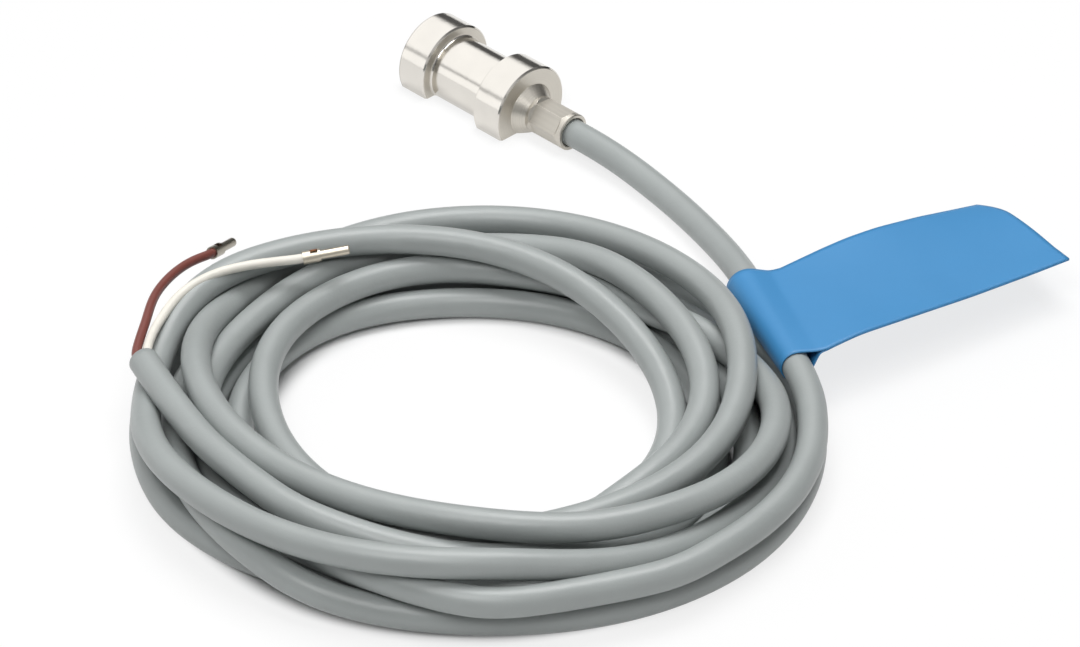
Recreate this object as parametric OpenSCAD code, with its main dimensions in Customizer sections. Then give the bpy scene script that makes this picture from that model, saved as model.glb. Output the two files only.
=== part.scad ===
// Contact temperature sensor for a pipe, on a coiled two-core cable with crimped contacts.
// The turned head lies on the flat that touches the pipe. X runs along the head towards
// the cable, Z is up, and the origin is in the middle under the head. Sizes in millimetres.

/* [Head] */
// Diameter of the two end flanges
flange_d = 16.5; // [15:0.1:20]
// Width of each end flange
flange_w = 6.6; // [5:0.1:9]
// Diameter of the neck that the pipe strap sits on
neck_d = 12.5; // [11.5:0.1:14]
// Width of the neck between the flanges
neck_w = 13; // [11:0.5:20]
// Height of the head's axis over its flat contact face
axis_height = 3.5; // [3.5:0.05:5]
// Chamfer on the rims of the flanges
rim_chamfer = 0.35; // [0.1:0.05:0.8]
// Radius at the root of the neck
neck_fillet = 0.5; // [0.2:0.1:1.5]
// Solid brass left between the blind end of the bore and the end face
end_wall = 6; // [3:0.5:9]

/* [Tail] */
// Length of the cone between the head and the tail
cone_w = 2; // [1:0.1:4]
// Diameter at the wide end of the cone
cone_d = 10; // [8:0.1:11.5]
// Length of the crimped tail
tail_len = 8.8; // [7:0.1:14]
// Wall of the tail where it isn't crimped
tail_wall = 0.9; // [0.7:0.05:0.9]
// Wall of the tail under the middle of a crimp flat
crimp_wall = 0.45; // [0.3:0.05:0.6]
// Length of the slope at each end of a crimp flat
crimp_shoulder = 0.5; // [0.3:0.1:1]
// Round lip left uncrimped at the mouth
lip_w = 0.9; // [0.5:0.1:1.5]
// Plain length left uncrimped next to the cone
collar_w = 0.5; // [0.2:0.1:1.5]
// Turn of the crimp's six flats about the axis, in degrees
crimp_turn = 26; // [0:1:60]
// Countersink at the mouth of the tail
mouth_chamfer = 0.3; // [0.1:0.05:0.5]

/* [Cable] */
// Diameter of the grey jacket
cable_d = 5; // [4.8:0.05:5]
// Radial clearance round the jacket in the tail
jacket_gap = 0.05; // [0.03:0.01:0.15]
// Length of jacket held inside the tail and the head
jacket_grip = 14; // [8:0.5:15]
// Diameter of an insulated core
core_d = 1.6; // [1.3:0.05:1.7]
// Diameter of the stranded copper in a core
conductor_d = 0.9; // [0.6:0.05:1]
// Distance between the axes of the two cores
core_pitch = 1.84; // [1.8:0.01:2.1]
// Length of core that stands out of the jacket inside the head
core_bare = 1.5; // [1:0.1:4]

/* [Sensing element] */
// Diameter of the thermistor bead
bead_d = 2.8; // [2.5:0.1:4]
// Length of the thermistor bead
bead_len = 4; // [3.2:0.1:5]
// Diameter of a bead leg
leg_d = 0.4; // [0.3:0.05:0.5]
// Wall of the thin sleeve on a leg
leg_sleeve_wall = 0.2; // [0.1:0.05:0.25]
// Outer diameter of a butt splice
splice_d = 1.3; // [1.2:0.05:1.35]
// Length of a butt splice
splice_len = 5; // [4:0.1:6]
// Wall of the shrunk sleeve over a splice
shrink_wall = 0.18; // [0.1:0.01:0.2]
// Clearance between the potted pieces
potted_gap = 0.03; // [0.02:0.01:0.05]

/* [Flag label] */
// Thickness of one ply of the label
ply = 0.2; // [0.1:0.05:0.3]
// Clearance between the cable and the label wrapped round it
wrap_gap = 0.1; // [0.05:0.01:0.2]
// Distance from the cable's axis to where the two plies meet
wrap_reach = 6.5; // [5:0.1:9]
// Height over the cable's axis at which the two plies meet
wrap_rise = 2.4; // [1.5:0.1:2.6]

/* [Contacts] */
// Length of the crimp barrel
barrel_len = 3; // [2.5:0.1:4]
// Length of the wire's insulation gripped in the barrel
insulation_grip = 1.2; // [0.8:0.1:1.4]
// Thickness of the contact's sheet metal
sheet = 0.25; // [0.15:0.05:0.3]
// Clearance round the insulation in the barrel
barrel_gap = 0.06; // [0.03:0.01:0.1]
// Diameter of the rolled pin
pin_d = 1.6; // [1.2:0.05:2]
// Length of the rolled pin
pin_len = 5; // [4:0.1:8]
// Width of the seam along the rolled pin
seam_w = 0.12; // [0.08:0.01:0.2]
// Chamfer at the tip of the pin
tip_chamfer = 0.2; // [0.1:0.05:0.25]

/* [Hidden] */
$fn = 64;
// Extra length by which a cutter passes the face that it opens
cut = 1;

// Stations along the head's axis, from its closed end to its mouth
head_len = 2 * flange_w + neck_w + cone_w + tail_len;
end_x = -head_len / 2;
mouth_x = head_len / 2;
tail_x = mouth_x - tail_len;
cone_x = tail_x - cone_w;
bore_end_x = end_x + end_wall;

// Radii of the tail, worked out from the cable that it holds
bore_r = cable_d / 2 + jacket_gap;
tail_r = bore_r + tail_wall;
crimp_r = bore_r + crimp_wall;
// Half the point angle of a twist drill
drill_half_angle = 59;

// Stations of the potted pieces, from the jacket back to the bead
jacket_face_x = mouth_x - jacket_grip;
core_end_x = jacket_face_x - core_bare;
splice_x1 = core_end_x - 4 * potted_gap;
splice_x0 = splice_x1 - splice_len;
conductor_depth = 0.45 * splice_len;
leg_depth = 0.4 * splice_len;
bead_x0 = bore_end_x + 4 * potted_gap;
bead_x1 = bead_x0 + bead_len;
leg_root = 0.8;
leg_sleeve_x0 = bead_x1 + 4 * potted_gap;
leg_sleeve_x1 = splice_x0 - 4 * potted_gap;
shrink_x0 = splice_x0 - 0.8;
shrink_r = splice_d / 2 + potted_gap + shrink_wall;
leg_sleeve_r = leg_d / 2 + potted_gap + leg_sleeve_wall;
brown_side = -1;
white_side = 1;

// Sides of a swept cable and of a swept wire
cable_sides = 12;
wire_sides = 8;
wire_r = core_d / 2;

// The coil lies beside the head; its angles are counted from a line turned by coil_turn
coil_centre = [70.5, -74];
coil_turn = 45.7;
coil_inner_r = 28.5;
coil_core_r = 51;
coil_outer_r = 58;
coil_round = 2.2;
low_top = 5;
high_top = 9.8;
core_top = 10;
third_top = 15;
third_inner_r = 36;
third_outer_r = 48;
notch_start = 10;
notch_end = 50;
high_end = 285;
third_start = 220;
third_end = 465;
// Depth by which the coil's stacked rings share material
ring_overlap = 3;
// Gap where a free strand meets the end of the coil
butt_gap = 0.1;

// Ends of the straight stretch of cable that the label is wrapped round
wrap_start = [75, -13.4, 4.7];
wrap_end = [99.4, -28, 7.7];

// Route of the cable from the mouth of the tail to the coil
lead_route = [
    [30, 0, 3.2], [37, -0.7, 2.8], [44, -1.8, 2.6], [51, -3.4, 2.6], [58, -5.5, 2.8], [66.5, -8.9, 3.6],
    wrap_start, (wrap_start + wrap_end) / 2, wrap_end,
    [106.5, -32.3, 7.8], [113.2, -38.5, 7.8], [119.2, -46, 7.8], [123.4, -55.3, 7.8], [125.3, -65.6, 7.8],
    [125.2, -75, 7.8], [124, -84.4, 7.8]
];
lead_end_r = 54.5;
lead_end_z = 7.8;
lead_end_run = 8;

// Route of the cable's other end over the top of the coil, to where its jacket is cut
tail_start_r = 44.2;
tail_start_run = 5;
tail_z = 12.6;
tail_route = [
    [55.4, -116.9, tail_z], [47.1, -114.9, tail_z], [39.6, -112.7, tail_z], [28.3, -108.7, tail_z]
];

// Routes of the two wires from the cut jacket to their contacts, and how the contacts point
brown_route = [
    [27.8, -109.4, 12.6], [26.2, -108.5, 12.6], [23, -105, 12.3], [19.1, -100.3, 12], [14.6, -95, 11.5],
    [11.6, -90.6, 10.8],
    [9.4, -85.6, 10.1], [8.2, -80.8, 9.3]
];
brown_root = [7.7, -75.9, 8.3];
brown_yaw = 111.5;
brown_pitch = -17.5;
white_route = [
    [28.4, -107.8, 12.6], [27, -106.9, 12.6], [24.2, -103.9, 12.7], [20.9, -99.4, 12.8], [18, -94, 13.2],
    [17, -89, 13.6],
    [18, -84.2, 14], [20.6, -79.8, 14.3], [24.2, -75.8, 14.7]
];
white_root = [27.1, -72.3, 15];
white_yaw = 55.7;
white_pitch = 6.1;

// Plan of the label's flag, along and across the cable from the middle of its wrap
wrap_mid = (wrap_start + wrap_end) / 2;
wrap_run = wrap_end - wrap_start;
wrap_len = norm(wrap_run);
wrap_yaw = atan2(wrap_run.y, wrap_run.x);
wrap_pitch = asin(wrap_run.z / wrap_len);
flag_plan = [[-13.9, 5.2], [14.8, 5.2], [-3.1, 53.2], [-28, 47]];

// Contact sizes worked out from the wire
barrel_in_r = wire_r + barrel_gap;
barrel_r = barrel_in_r + sheet;
window_len = barrel_len - insulation_grip - sheet - 0.3;
window_w = 1.3 * wire_r;
strand_d = conductor_d / 3;
strand_count = 6;
strand_len = barrel_len - sheet - insulation_grip - 0.05;

// Unit vector along v
function unit(v) = v / norm(v);

// Direction in which a contact with this yaw and pitch points
function heading(yaw, pitch) = [cos(yaw) * cos(pitch), sin(yaw) * cos(pitch), sin(pitch)];

// Point of the coil at an angle counted from the coil's own line
function coil_point(angle, r, z) = [
    coil_centre.x + r * cos(angle + coil_turn), coil_centre.y + r * sin(angle + coil_turn), z
];

// Clockwise direction round the coil at an angle
function coil_way(angle) = [sin(angle + coil_turn), -cos(angle + coil_turn), 0];

// Direction of a route at point i, the mean of the steps before and after it
function way(p, i) =
    let (last = len(p) - 1)
    i == 0 ? unit(p[1] - p[0])
    : i == last ? unit(p[last] - p[last - 1])
    : unit(unit(p[i] - p[i - 1]) + unit(p[i + 1] - p[i]));

// One ring of n corners round point i of a route, with a corner line kept level
function ring(p, i, r, n) =
    let (
        w = way(p, i),
        side = unit(cross(w, [0, 0, 1])),
        up = cross(side, w)
    )
    [for (k = [0:n - 1]) p[i] + r * (cos(360 * (k + 0.5) / n) * side + sin(360 * (k + 0.5) / n) * up)];

// A tube with flat ends along the points p
module tube(p, d, n) {
    rings = len(p);
    corners = [for (i = [0:rings - 1]) each ring(p, i, d / 2, n)];
    walls = [
        for (i = [0:rings - 2])
            for (k = [0:n - 1])
                [i * n + k, i * n + (k + 1) % n, (i + 1) * n + (k + 1) % n, (i + 1) * n + k]
    ];
    first_cap = [for (k = [n - 1:-1:0]) k];
    last_cap = [for (k = [0:n - 1]) (rings - 1) * n + k];
    polyhedron(corners, concat([first_cap], walls, [last_cap]), convexity = 10);
}

// A round bar along the head's axis from x0 to x1
module bar(x0, x1, r, y = 0) {
    translate([x0, y, axis_height])
        rotate([0, 90, 0])
            cylinder(r = r, h = x1 - x0);
}

// Corner between the neck and a flange, filled by a quarter of a hollow
module neck_root(x, way) {
    translate([neck_d / 2, x])
        difference() {
            translate([-cut, way > 0 ? 0 : -neck_fillet])
                square([cut + neck_fillet, neck_fillet]);
            translate([neck_fillet, way * neck_fillet])
                circle(r = neck_fillet);
        }
}

// Half section of one flange, from the axis out
module flange_section(x) {
    r = flange_d / 2;
    c = rim_chamfer;
    translate([0, x])
        polygon([[0, 0], [r - c, 0], [r, c], [r, flange_w - c], [r - c, flange_w], [0, flange_w]]);
}

// Half section of the whole turned head, from the axis out
module head_section() {
    neck_x = end_x + flange_w;
    flange_section(end_x);
    translate([0, neck_x - cut])
        square([neck_d / 2, neck_w + 2 * cut]);
    neck_root(neck_x, 1);
    neck_root(neck_x + neck_w, -1);
    flange_section(neck_x + neck_w);
    polygon([[0, cone_x - cut], [cone_d / 2, cone_x - cut], [cone_d / 2, cone_x], [tail_r, tail_x], [0, tail_x]]);
    translate([0, tail_x - cut])
        polygon([
            [0, 0], [tail_r, 0], [tail_r, tail_len + cut - mouth_chamfer / 2],
            [tail_r - mouth_chamfer / 2, tail_len + cut], [0, tail_len + cut]
        ]);
}

// Half section of the blind bore for the cable and the sensing element
module bore_section() {
    drill_tip = bore_r / tan(drill_half_angle);
    polygon([
        [0, bore_end_x - drill_tip], [bore_r, bore_end_x], [bore_r, mouth_x - mouth_chamfer],
        [bore_r + mouth_chamfer + cut, mouth_x + cut], [0, mouth_x + cut]
    ]);
}

// What one jaw of the crimping tool presses away from the tail
module crimp_jaw() {
    x0 = tail_x + collar_w;
    x1 = mouth_x - lip_w;
    rotate([90, 0, 0])
        linear_extrude(height = 4 * tail_r, center = true)
            polygon([
                [x0, tail_r], [x0 + crimp_shoulder, crimp_r], [x1 - crimp_shoulder, crimp_r], [x1, tail_r],
                [x1, tail_r + cut], [x0, tail_r + cut]
            ]);
}

// Turns a half section about the head's axis
module turned() {
    translate([0, 0, axis_height])
        rotate([0, 90, 0])
            rotate_extrude($fn = 128)
                children();
}

// The turned and bored head, milled flat underneath and crimped on the cable
module probe_body() {
    color([0.83, 0.81, 0.76])
        intersection() {
            difference() {
                turned()
                    head_section();
                turned()
                    bore_section();
                for (k = [0:5])
                    translate([0, 0, axis_height])
                        rotate([crimp_turn + 60 * k - 90, 0, 0])
                            crimp_jaw();
            }
            translate([end_x - cut, -flange_d, 0])
                cube([head_len + 2 * cut, 2 * flange_d, axis_height + flange_d]);
        }
}

// Outer form of the bead, with a round nose at the blind end
module bead_form(grow = 0) {
    r = bead_d / 2 + grow;
    nose = bead_d / 2;
    bar(bead_x0 + nose, bead_x1 + grow, r);
    translate([bead_x0 + nose, 0, axis_height])
        sphere(r = r);
}

// The glass and resin bead that senses the temperature
module thermistor_bead() {
    color([0.12, 0.12, 0.13])
        difference() {
            bead_form();
            for (side = [brown_side, white_side])
                bar(bead_x1 - leg_root, bead_x1 + cut, leg_d / 2 + potted_gap, side * core_pitch / 2);
        }
}

// One bare leg of the bead, up to its stop in the splice
module bead_leg(side) {
    bar(bead_x1 - leg_root + potted_gap, splice_x0 + leg_depth - potted_gap, leg_d / 2, side * core_pitch / 2);
}

// The thin sleeve on one leg
module leg_sleeve(side) {
    y = side * core_pitch / 2;
    difference() {
        bar(leg_sleeve_x0, leg_sleeve_x1, leg_sleeve_r, y);
        bar(leg_sleeve_x0 - cut, leg_sleeve_x1 + cut, leg_d / 2 + potted_gap, y);
    }
}

// The butt splice between one leg and one core
module butt_splice(side) {
    y = side * core_pitch / 2;
    difference() {
        bar(splice_x0, splice_x1, splice_d / 2, y);
        bar(splice_x0 - cut, splice_x0 + leg_depth, leg_d / 2 + potted_gap, y);
        bar(splice_x1 - conductor_depth, splice_x1 + cut, conductor_d / 2 + potted_gap, y);
    }
}

// The shrunk sleeve over one splice
module shrink_sleeve(side) {
    y = side * core_pitch / 2;
    difference() {
        bar(shrink_x0, splice_x1, shrink_r, y);
        bar(shrink_x0 - cut, splice_x1 + cut, splice_d / 2 + potted_gap, y);
    }
}

// The insulation of one core, from its stripped end to the mouth of the tail
module head_core(side) {
    y = side * core_pitch / 2;
    difference() {
        bar(core_end_x, mouth_x, core_d / 2, y);
        bar(core_end_x - cut, mouth_x + cut, conductor_d / 2 + potted_gap, y);
    }
}

// The copper of one core, from its stop in the splice to the mouth of the tail
module head_conductor(side) {
    bar(splice_x1 - conductor_depth + potted_gap, mouth_x, conductor_d / 2, side * core_pitch / 2);
}

// The end of the jacket that the tail is crimped on, with its two cores' channels
module jacket_end() {
    color([0.58, 0.62, 0.62])
        difference() {
            bar(jacket_face_x, mouth_x, cable_d / 2);
            for (side = [brown_side, white_side])
                bar(jacket_face_x - cut, mouth_x + cut, core_d / 2 + potted_gap, side * core_pitch / 2);
        }
}

// The compound that fills the bore round the sensing element
module potting_compound() {
    r = bore_r - potted_gap;
    drill_tip = r / tan(drill_half_angle);
    color([0.25, 0.24, 0.22])
        difference() {
            turned()
                polygon([
                    [0, bore_end_x - drill_tip + potted_gap], [r, bore_end_x + potted_gap],
                    [r, jacket_face_x - potted_gap], [0, jacket_face_x - potted_gap]
                ]);
            bead_form(potted_gap);
            for (side = [brown_side, white_side]) {
                y = side * core_pitch / 2;
                bar(bead_x1, splice_x0, leg_sleeve_r + potted_gap, y);
                bar(shrink_x0 - potted_gap, core_end_x, shrink_r + potted_gap, y);
                bar(core_end_x - potted_gap, jacket_face_x + cut, core_d / 2 + potted_gap, y);
            }
        }
}

// The cable from the tail to the coil, passing through the label
module cable_lead() {
    landing = coil_point(high_end, lead_end_r, lead_end_z) - butt_gap * coil_way(high_end);
    approach = landing - lead_end_run * coil_way(high_end);
    exit = [mouth_x, 0, axis_height];
    color([0.58, 0.62, 0.62])
        tube(concat([exit, exit + [5.5, 0, 0]], lead_route, [approach, landing]), cable_d, cable_sides);
}

// Section of one ring of the coil, with its outer corners rounded
module ring_section(r0, r1, z0, z1) {
    c = coil_round;
    polygon([
        [r0 + c, z0], [r1 - c, z0], [r1 - 0.3 * c, z0 + 0.3 * c], [r1, z0 + c],
        [r1, z1 - c], [r1 - 0.3 * c, z1 - 0.3 * c], [r1 - c, z1],
        [r0 + c, z1], [r0 + 0.3 * c, z1 - 0.3 * c], [r0, z1 - c],
        [r0, z0 + c], [r0 + 0.3 * c, z0 + 0.3 * c]
    ]);
}

// A stretch of ring from one angle of the coil to another
module ring_stretch(from, to, r0, r1, z0, z1) {
    translate([coil_centre.x, coil_centre.y, 0])
        rotate([0, 0, from + coil_turn])
            rotate_extrude(angle = to - from, $fn = 96)
                ring_section(r0, r1, z0, z1);
}

// The closed outer form of the coil, open where the lead comes in and where the tail goes out
module cable_coil() {
    shared_r = coil_core_r - 2 * ring_overlap;
    color([0.52, 0.56, 0.56]) {
        ring_stretch(0, 360, coil_inner_r, coil_core_r, 0, core_top);
        ring_stretch(notch_end, 360 + notch_start, shared_r, coil_outer_r, 0, low_top);
        ring_stretch(notch_end, high_end, shared_r, coil_outer_r, 0, high_top);
        ring_stretch(third_start, third_end, third_inner_r, third_outer_r, core_top - 2 * ring_overlap, third_top);
    }
}

// The cable's free end on top of the coil
module cable_tail() {
    start = coil_point(third_start, tail_start_r, tail_z) + butt_gap * coil_way(third_start);
    color([0.58, 0.62, 0.62])
        tube(concat([start, start + tail_start_run * coil_way(third_start)], tail_route), cable_d, cable_sides);
}

// Angle of the point where a line from the nose touches a circle, above or below
function touch_angle(r, nose, above) = atan2(nose.y, nose.x) + above * acos(r / norm(nose));

// A circle with a wedge that runs tangent from it to a nose
module drop_outline(r, nose) {
    upper = touch_angle(r, nose, 1);
    lower = touch_angle(r, nose, -1);
    circle(r = r);
    polygon([[0, 0], r * [cos(lower), sin(lower)], nose, r * [cos(upper), sin(upper)]]);
}

// The label: one strip folded round the cable and stuck to itself as a flag
module flag_label() {
    in_r = cable_d / 2 + wrap_gap;
    out_r = in_r + ply;
    nose = [wrap_reach, wrap_rise];
    color([0.3, 0.58, 0.82])
        translate(wrap_mid)
            rotate([0, -wrap_pitch, wrap_yaw]) {
                translate([-wrap_len / 2, 0, 0])
                    rotate([90, 0, 90])
                        linear_extrude(height = wrap_len)
                            difference() {
                                drop_outline(out_r, nose);
                                drop_outline(in_r, nose - [4 * ply, ply]);
                            }
                translate([0, 0, wrap_rise - 2 * ply])
                    linear_extrude(height = 2 * ply)
                        polygon(flag_plan);
            }
}

// Puts a contact's own axis at its place
module at_contact(root, yaw, pitch) {
    translate(root)
        rotate([0, -pitch, yaw])
            children();
}

// One insulated wire, from the cut jacket to its grip in the contact
module wire(route, root, yaw, pitch) {
    grip = root + insulation_grip * heading(yaw, pitch);
    tube(concat(route, [root - heading(yaw, pitch), grip]), core_d, wire_sides);
}

// A straight round bar from x0 to x1 along a contact's axis
module stem(x0, x1, r) {
    translate([x0, 0, 0])
        rotate([0, 90, 0])
            cylinder(r = r, h = x1 - x0);
}

// The stamped and rolled contact: an open crimp barrel and a rolled pin with its seam
module crimp_pin() {
    tip_x = barrel_len + pin_len;
    pin_r = pin_d / 2;
    difference() {
        union() {
            stem(0, barrel_len, barrel_r);
            stem(barrel_len - sheet, tip_x - tip_chamfer, pin_r);
            translate([tip_x - tip_chamfer, 0, 0])
                rotate([0, 90, 0])
                    cylinder(r1 = pin_r, r2 = pin_r - tip_chamfer, h = tip_chamfer);
        }
        stem(-cut, barrel_len - sheet, barrel_in_r);
        stem(barrel_len, tip_x + cut, pin_r - sheet);
        translate([insulation_grip + 0.15, -window_w / 2, 0])
            cube([window_len, window_w, barrel_r + cut]);
        translate([barrel_len - sheet - cut, -seam_w / 2, 0])
            cube([pin_len + sheet + 2 * cut, seam_w, barrel_r + cut]);
    }
}

// The copper strands between the stripped insulation and the end of the barrel
module strands() {
    gap = 0.02;
    x0 = insulation_grip + gap;
    stem(x0, x0 + strand_len - gap, strand_d / 2 - gap / 2);
    for (k = [0:strand_count - 1])
        rotate([60 * k, 0, 0])
            translate([0, strand_d, 0])
                stem(x0, x0 + strand_len - gap, strand_d / 2 - gap / 2);
}

module leg_brown() { color([0.75, 0.75, 0.76]) bead_leg(brown_side); }
module leg_white() { color([0.75, 0.75, 0.76]) bead_leg(white_side); }
module leg_sleeve_brown() { color([0.9, 0.88, 0.8]) leg_sleeve(brown_side); }
module leg_sleeve_white() { color([0.9, 0.88, 0.8]) leg_sleeve(white_side); }
module splice_brown() { color([0.8, 0.8, 0.78]) butt_splice(brown_side); }
module splice_white() { color([0.8, 0.8, 0.78]) butt_splice(white_side); }
module shrink_sleeve_brown() { color([0.1, 0.1, 0.1]) shrink_sleeve(brown_side); }
module shrink_sleeve_white() { color([0.1, 0.1, 0.1]) shrink_sleeve(white_side); }
module core_brown_head() { color([0.4, 0.24, 0.2]) head_core(brown_side); }
module core_white_head() { color([0.93, 0.92, 0.88]) head_core(white_side); }
module conductor_brown_head() { color([0.75, 0.45, 0.3]) head_conductor(brown_side); }
module conductor_white_head() { color([0.75, 0.45, 0.3]) head_conductor(white_side); }
module wire_brown() { color([0.4, 0.24, 0.2]) wire(brown_route, brown_root, brown_yaw, brown_pitch); }
module wire_white() { color([0.93, 0.92, 0.88]) wire(white_route, white_root, white_yaw, white_pitch); }
module crimp_pin_brown() { color([0.8, 0.79, 0.76]) at_contact(brown_root, brown_yaw, brown_pitch) crimp_pin(); }
module crimp_pin_white() { color([0.8, 0.79, 0.76]) at_contact(white_root, white_yaw, white_pitch) crimp_pin(); }
module strands_brown() { color([0.75, 0.45, 0.3]) at_contact(brown_root, brown_yaw, brown_pitch) strands(); }
module strands_white() { color([0.75, 0.45, 0.3]) at_contact(white_root, white_yaw, white_pitch) strands(); }

probe_body();
thermistor_bead();
leg_brown();
leg_white();
leg_sleeve_brown();
leg_sleeve_white();
splice_brown();
splice_white();
shrink_sleeve_brown();
shrink_sleeve_white();
potting_compound();
jacket_end();
core_brown_head();
core_white_head();
conductor_brown_head();
conductor_white_head();
cable_lead();
cable_coil();
cable_tail();
flag_label();
wire_brown();
wire_white();
crimp_pin_brown();
crimp_pin_white();
strands_brown();
strands_white();
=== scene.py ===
"""Looks of a pipe contact sensor: a turned metal head on a coiled two-core cable.

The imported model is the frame. This file makes the grey cable at its real length, the film
label, the two wires and the finish of every part, and then the floor, the lamps and the camera.
Lengths are in metres where nothing else is said.
"""

import math

import bpy
import numpy as np
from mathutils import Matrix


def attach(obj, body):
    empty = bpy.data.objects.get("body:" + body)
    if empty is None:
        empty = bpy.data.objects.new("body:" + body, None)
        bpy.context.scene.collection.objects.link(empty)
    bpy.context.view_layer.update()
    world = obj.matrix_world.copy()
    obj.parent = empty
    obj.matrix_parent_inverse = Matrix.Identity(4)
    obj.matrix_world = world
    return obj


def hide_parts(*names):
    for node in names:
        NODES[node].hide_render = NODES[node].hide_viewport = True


bl_info = {
    "name": "Pipe contact sensor",
    "version": (1, 0, 0),
    "blender": (4, 5, 0),
    "location": "3D View > Sidebar > Sensor",
    "description": "Makes the coiled cable, the label, the wires and the finishes of a pipe contact sensor",
    "category": "Object",
}

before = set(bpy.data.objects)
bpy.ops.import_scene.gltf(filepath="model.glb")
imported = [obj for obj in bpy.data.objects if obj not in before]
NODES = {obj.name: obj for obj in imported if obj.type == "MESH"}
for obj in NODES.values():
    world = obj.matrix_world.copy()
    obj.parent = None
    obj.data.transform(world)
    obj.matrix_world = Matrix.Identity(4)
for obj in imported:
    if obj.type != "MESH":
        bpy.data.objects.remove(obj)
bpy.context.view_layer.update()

# Route of the cable from the mouth of the head's tail to the first turn of the coil
LEAD_ROUTE = [
    (0.0185, 0, 0.0035), (0.024, 0, 0.0035), (0.03, 0, 0.0032), (0.037, -0.0007, 0.0028),
    (0.044, -0.0018, 0.0026), (0.051, -0.0034, 0.0026), (0.058, -0.0055, 0.0028),
    (0.0665, -0.0089, 0.0036), (0.075, -0.0134, 0.0047), (0.0872, -0.0207, 0.0062),
    (0.0994, -0.028, 0.0077), (0.1065, -0.0323, 0.0078), (0.1132, -0.0385, 0.0078),
    (0.1192, -0.046, 0.0078), (0.1234, -0.0553, 0.0078), (0.1253, -0.0656, 0.0078),
    (0.1252, -0.075, 0.0078), (0.124, -0.0844, 0.0078),
]
# Route of its other end over the coil, to where the jacket is cut
TAIL_ROUTE = [
    (0.0554, -0.1169, 0.0126), (0.0471, -0.1149, 0.0126), (0.0396, -0.1127, 0.0126),
    (0.0283, -0.1087, 0.0126),
]
# Length of a step along the cable while its route is smoothed, and along the finished cable
ROUTE_STEP = 0.0008
CABLE_STEP = 0.0016

# Routes of the two wires from the cut jacket into their contacts
BROWN_ROUTE = [
    (0.0278, -0.1094, 0.0126), (0.0262, -0.1085, 0.0126), (0.023, -0.105, 0.0123),
    (0.0191, -0.1003, 0.012), (0.0146, -0.095, 0.0115), (0.0116, -0.0906, 0.0108),
    (0.0094, -0.0856, 0.0101), (0.0082, -0.0808, 0.0093),
]
WHITE_ROUTE = [
    (0.0284, -0.1078, 0.0126), (0.027, -0.1069, 0.0126), (0.0242, -0.1039, 0.0127),
    (0.0209, -0.0994, 0.0128), (0.018, -0.094, 0.0132), (0.017, -0.089, 0.0136),
    (0.018, -0.0842, 0.014), (0.0206, -0.0798, 0.0143), (0.0242, -0.0758, 0.0147),
]
# Root of each contact, and its yaw and pitch in degrees
BROWN_CONTACT = ((0.0077, -0.0759, 0.0083), 111.5, -17.5)
WHITE_CONTACT = ((0.0271, -0.0723, 0.015), 55.7, 6.1)
# How far each wire leans aside half way along
BROWN_LEAN = (0.0007, -0.0007, 0.0)
WHITE_LEAN = (0.0016, -0.0003, 0.0)
# Way back into the cut jacket, and how far the wires reach into it
INTO_JACKET = np.array([0.944, 0.331, 0.0])
WIRE_HIDDEN = 0.0012
# Distance before its contact's root at which a wire is in line with it, and how far it reaches in
WIRE_STRAIGHT = 0.001
WIRE_GRIP = 0.0012
# Length of a step along a wire while its route is smoothed, and along the finished wire
WIRE_ROUTE_STEP = 0.0002
WIRE_STEP = 0.0005

# Middle of the label's wrap on the cable, and its yaw and pitch in degrees
WRAP = ((0.0872, -0.0207, 0.0062), -30.9, 6.0)
# Air between the jacket and the film, and between the two plies of the flag
FILM_GAP = 0.0001
PLY_GAP = 0.00002
# Plan of the flag in the wrap's axes, along the cable and across it: the edge towards the head and
# the other edge, each from its root at the wrap to its far end
HEAD_EDGE = ((-0.0139, 0.0052), (-0.028, 0.047))
OTHER_EDGE = ((0.0148, 0.0052), (-0.0031, 0.0532))
# Distance and height from the cable's axis of the nose where the two plies meet, and how much
# further off it lies at the other edge
NOSE = (0.0037, 0.0024)
NOSE_SPREAD = 0.0005
# How much wider the film goes round the cable at the edge towards the head
DROP_LOOSE = 0.0008
# Bulge of the far end and cut of its corner towards the head, as shares of the flag's reach, and
# the share of the width that the cut takes
END_BULGE = 0.004
CORNER_CUT = 0.055
CORNER_WIDTH = 0.26
# How the flag waves: shares of the way out, and the millimetres that each edge lifts there
HEAD_EDGE_WAVE = ((0, 0.12, 0.24, 0.36, 0.5, 0.71, 0.83, 1), (0, 0.7, 1.4, 1.9, 2.0, 1.4, 0.8, 0.0))
OTHER_EDGE_WAVE = ((0, 0.15, 0.42, 0.6, 0.84, 1), (0, 0.8, 0.5, 0.3, 0.4, 0.6))
# Power by which the wave of one edge fades towards the other
WAVE_FADE = 1.4
# Curl of the far end in millimetres, the share of the way out at which it begins, and the share of
# the width that it takes
CURL = 0.45
CURL_FROM = 0.72
CURL_WIDTH = 0.8
# Points out along a ply of the flag, across its width and round the cable
FLAG_POINTS = 60
WIDTH_POINTS = 33
DROP_POINTS = 42

# Height of the head's axis, and the places along it of the two turned faces that look towards the cable
HEAD_AXIS = 0.0035
FACES = (-0.0119, 0.0077)
# Distances from a face's plane between which its finish ends
FACE_EDGE = (0.00006, 0.00014)
# Distances from the head's middle between which the painted shade on the rim of its blind end begins: a dark
# outline painted into the metal's colour
RIM_PAINTED_SHADE = (0.0179, 0.0181)
# Turning marks to the metre, along the head and out from its axis
MARKS_ALONG = 9000
MARKS_ACROSS = 7000

# Middle of the coil, and the angle from the X axis at which the camera's right lies
COIL_CENTRE = (0.0705, -0.074)
COIL_TURN = math.radians(45.7)
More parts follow.
